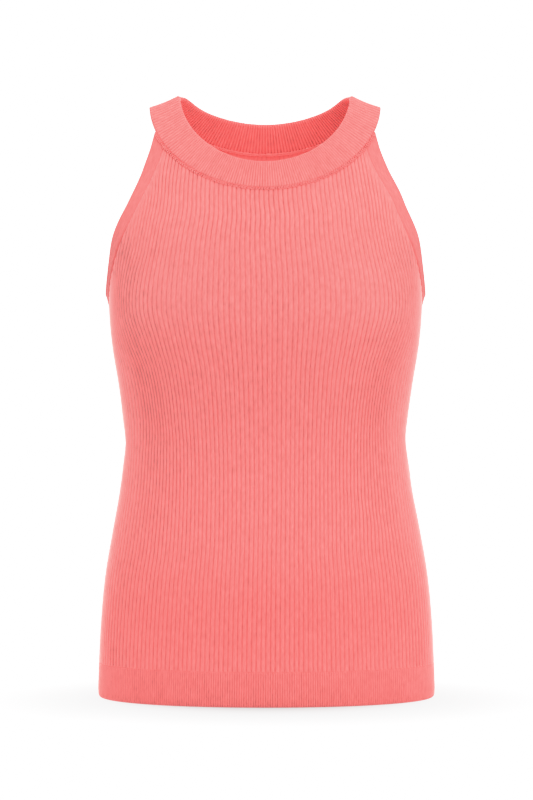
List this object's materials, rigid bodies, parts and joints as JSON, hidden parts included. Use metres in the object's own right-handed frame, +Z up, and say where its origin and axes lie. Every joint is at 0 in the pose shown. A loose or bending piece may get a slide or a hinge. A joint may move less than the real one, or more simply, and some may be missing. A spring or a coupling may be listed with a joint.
{
  "type": "sleeveless ribbed knit top",
  "caption": "Sleeveless ribbed knit top with a folded round neckband that forms the shoulder straps, cut-in armholes with plain bands and a fine-rib hem, open and hollow as worn.",
  "frame": {"origin": "midway between the tops of the two shoulder straps, where the wearer's shoulders carry the top", "axes": "+X to the wearer's left, -Y out of the front, +Z up"},
  "size_m": [0.319, 0.2361, 0.569],
  "materials": {
    "rib_knit": "matte wide-rib knit in coral pink",
    "fine_rib": "matte fine-rib knit in coral pink",
    "plain_knit": "matte plain knit in coral pink"
  },
  "bodies": {
    "root": {"front_panel": "rib_knit", "back_panel": "rib_knit", "neckband": "fine_rib", "armhole_band_left": "plain_knit", "armhole_band_right": "plain_knit", "hem_band_front": "fine_rib", "hem_band_back": "fine_rib"}
  },
  "joints": []
}
